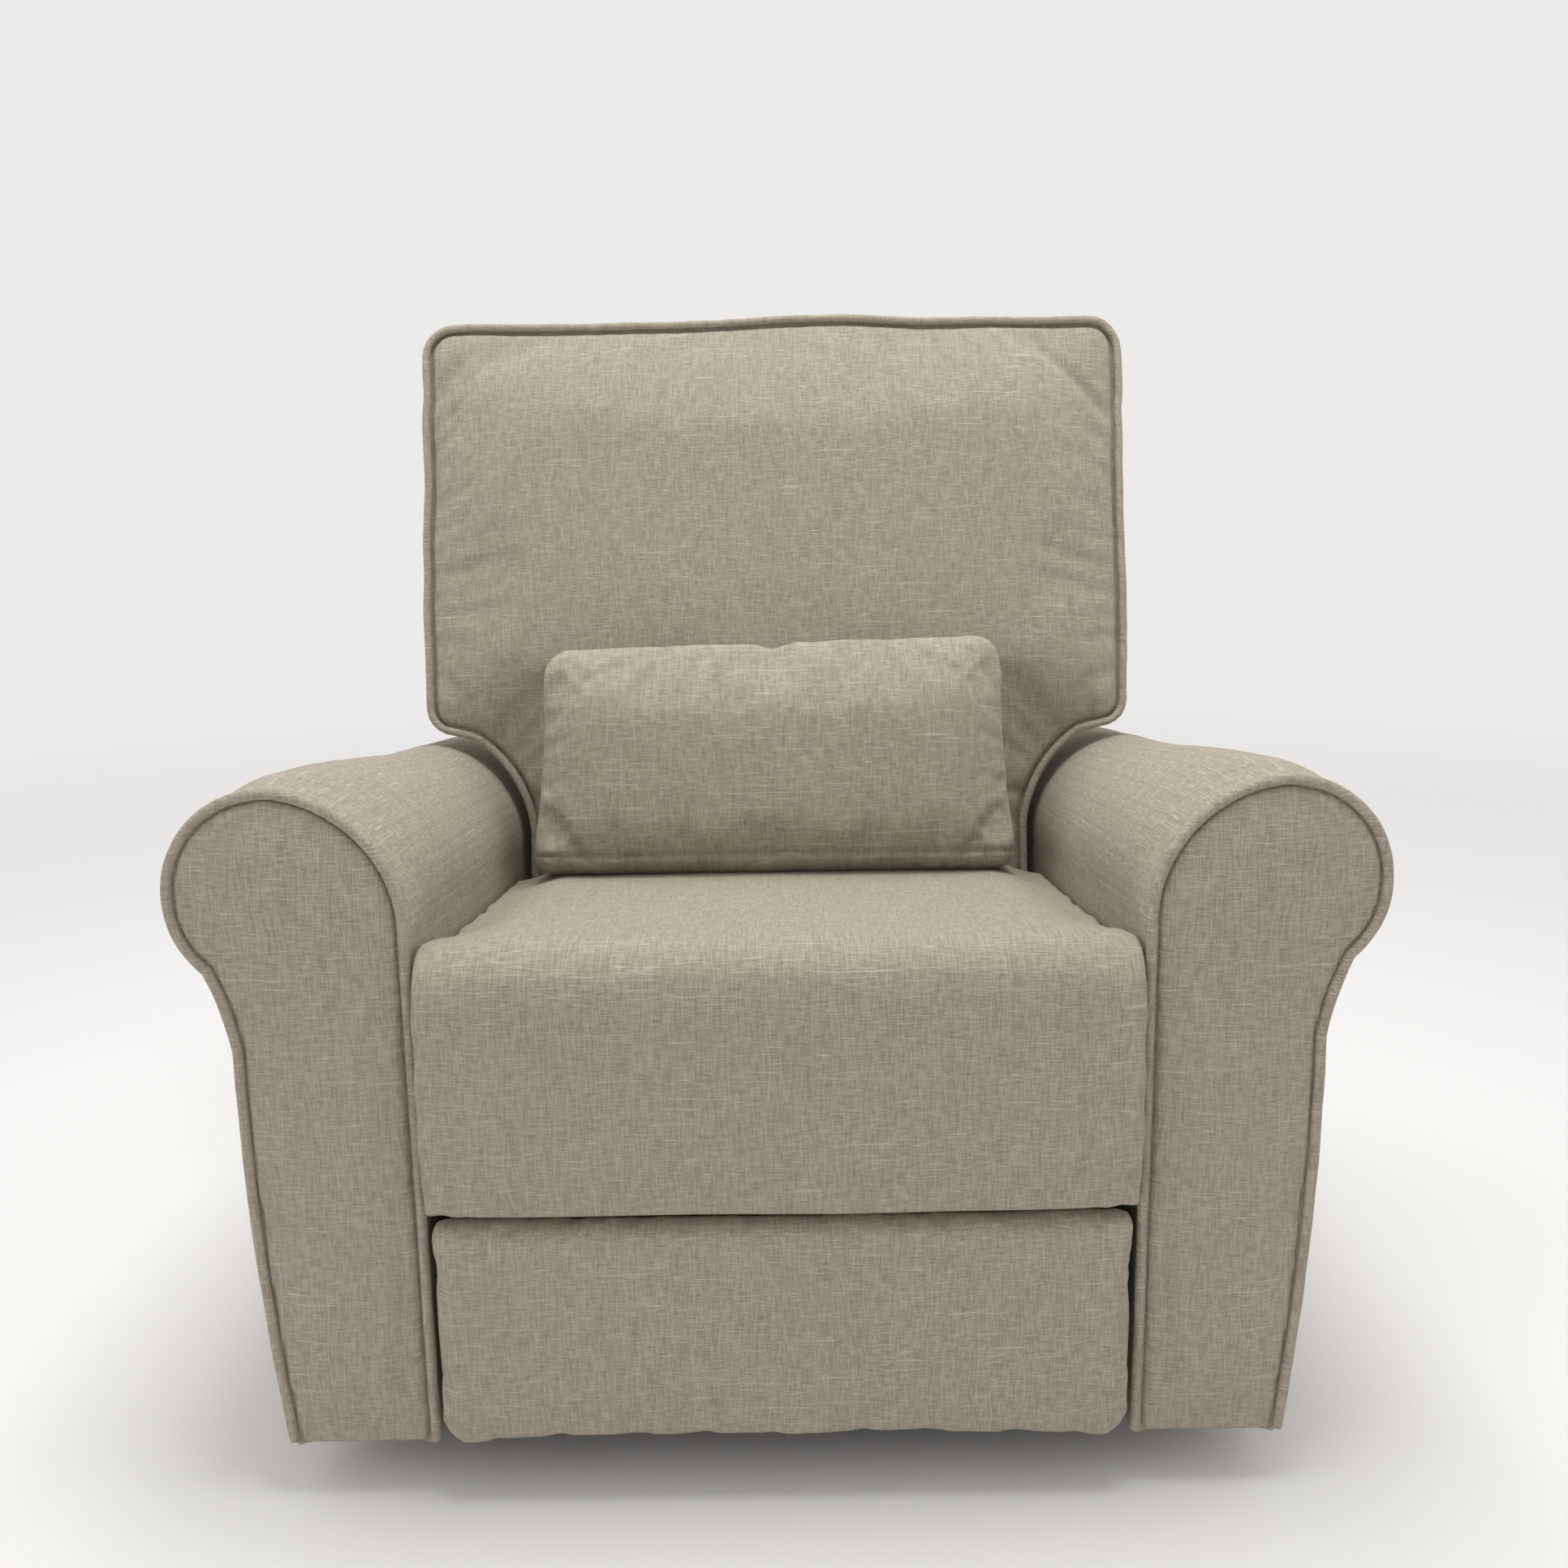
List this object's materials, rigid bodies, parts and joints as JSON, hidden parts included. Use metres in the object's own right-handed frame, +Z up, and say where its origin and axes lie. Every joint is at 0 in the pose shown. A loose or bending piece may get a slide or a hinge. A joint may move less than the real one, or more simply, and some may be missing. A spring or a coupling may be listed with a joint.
{
  "type": "glider nursery chair",
  "caption": "Upholstered swivel glider chair with rolled arms, T-shaped reclining back, loose lumbar pillow and a footrest that folds out from under the seat.",
  "frame": {"origin": "on the floor under the swivel axis, at the middle of the chair's width and depth", "axes": "+Z up, -Y to the chair's front, +X to the right when the chair is seen from the front"},
  "size_m": [0.965, 0.84, 1.0317],
  "materials": {
    "woven_upholstery": "linen-look plain weave with slubs, self piping",
    "dust_cloth": "black spunbond cloth under the arms",
    "webbing": "elastic webbing",
    "frame_wood": "plain sawn hardwood and plywood",
    "black_steel": "satin black powder coat",
    "zinc_steel": "zinc plated",
    "spring_steel": "oiled spring wire",
    "nylon": "moulded nylon",
    "rubber_feet": "moulded rubber"
  },
  "bodies": {
    "base": {"base_ring": "black_steel", "base_spokes": "black_steel", "floor_pads": "rubber_feet", "swivel_lower_plate": "zinc_steel", "swivel_balls": "zinc_steel", "swivel_bolt": "zinc_steel"},
    "swivel": {"swivel_upper_plate": "zinc_steel", "glider_cross_tubes": "black_steel", "hanger_plate_right": "black_steel", "hanger_plate_left": "black_steel", "hanger_pins": "zinc_steel"},
    "rear_links": {"glide_links_rear": "zinc_steel", "glide_bushes_rear": "nylon"},
    "front_links": {"glide_links_front": "zinc_steel", "glide_bushes_front": "nylon"},
    "drive_bars": {"drive_bars": "black_steel", "drive_bar_pins": "zinc_steel", "tong_cross_tube": "black_steel"},
    "slide_bars": {"slide_bars": "black_steel", "slide_bar_pins": "zinc_steel", "slide_rollers": "nylon"},
    "lift_bars": {"lift_bars": "black_steel", "lift_bar_pins": "zinc_steel"},
    "stay_bars": {"stay_bars": "black_steel", "stay_bar_pins": "zinc_steel"},
    "footrest": {"footrest_pad": "woven_upholstery", "footrest_board": "frame_wood", "footrest_brackets": "black_steel"},
    "back": {"back_cushion": "woven_upholstery", "back_welt": "woven_upholstery", "back_cover": "woven_upholstery", "back_frame": "frame_wood", "back_hinge_arm_right": "black_steel", "back_hinge_arm_left": "black_steel", "back_webbing": "webbing"},
    "pillow": {"lumbar_pillow": "woven_upholstery"},
    "chair_body": {"side_plate_right": "black_steel", "side_plate_left": "black_steel", "side_plate_pins": "zinc_steel", "carriage_tubes": "black_steel", "seat_cushion": "woven_upholstery", "seat_front_rail": "frame_wood", "seat_rear_rail": "frame_wood", "seat_side_rail_right": "frame_wood", "seat_side_rail_left": "frame_wood", "arm_bolts": "zinc_steel", "seat_springs": "spring_steel", "arm_cover_right": "woven_upholstery", "arm_front_panel_right": "woven_upholstery", "arm_front_welt_right": "woven_upholstery", "arm_frame_right": "frame_wood", "arm_cover_left": "woven_upholstery", "arm_front_panel_left": "woven_upholstery", "arm_front_welt_left": "woven_upholstery", "arm_frame_left": "frame_wood", "arm_dust_covers": "dust_cloth", "rear_apron": "woven_upholstery"}
  },
  "joints": [
    {"name": "swivel", "type": "hinge", "parent": "base", "child": "swivel", "pos_m": [0, 0, 0.03], "axis": [0, 0, 1], "continuous": true},
    {"name": "glide", "type": "hinge", "parent": "swivel", "child": "rear_links", "pos_m": [0, 0.12, 0.19], "axis": [1, 0, 0], "range_deg": [-17, 17]},
    {"name": "glide_front", "type": "hinge", "parent": "swivel", "child": "front_links", "pos_m": [0, -0.12, 0.19], "axis": [1, 0, 0], "range_deg": [-17, 17]},
    {"name": "glide_chair", "type": "hinge", "parent": "rear_links", "child": "chair_body", "pos_m": [0, 0.12, 0.08], "axis": [1, 0, 0], "range_deg": [-17, 17]},
    {"name": "footrest_open", "type": "hinge", "parent": "chair_body", "child": "drive_bars", "pos_m": [0, -0.285, 0.236], "axis": [-1, 0, 0], "range_deg": [0, 65]},
    {"name": "slide_bar_turn", "type": "hinge", "parent": "drive_bars", "child": "slide_bars", "pos_m": [0, -0.30629, 0.15061], "axis": [-1, 0, 0], "range_deg": [-130, 0]},
    {"name": "lift_bar_turn", "type": "hinge", "parent": "drive_bars", "child": "lift_bars", "pos_m": [0, -0.32758, 0.06523], "axis": [-1, 0, 0], "range_deg": [-130, 0]},
    {"name": "stay_bar_turn", "type": "hinge", "parent": "slide_bars", "child": "stay_bars", "pos_m": [0, -0.31549, 0.23813], "axis": [-1, 0, 0], "range_deg": [0, 130]},
    {"name": "footrest_turn", "type": "hinge", "parent": "lift_bars", "child": "footrest", "pos_m": [0, -0.34597, 0.24026], "axis": [-1, 0, 0], "range_deg": [0, 150]},
    {"name": "recline", "type": "hinge", "parent": "chair_body", "child": "back", "pos_m": [0, 0.21, 0.29], "axis": [-1, 0, 0], "range_deg": [0, 28]},
    {"name": "pillow_lift", "type": "slide", "parent": "back", "child": "pillow", "axis": [0, 0.2079, 0.9781], "range_m": [0, 0.3]}
  ],
  "couplings": [
    {"joint": "glide_front", "follows": "glide", "ratio": 1},
    {"joint": "glide_chair", "follows": "glide", "ratio": -1},
    {"joint": "slide_bar_turn", "follows": "footrest_open", "ratio": -2},
    {"joint": "lift_bar_turn", "follows": "footrest_open", "ratio": -2},
    {"joint": "stay_bar_turn", "follows": "footrest_open", "ratio": 2},
    {"joint": "footrest_turn", "follows": "footrest_open", "ratio": 2.3077}
  ]
}
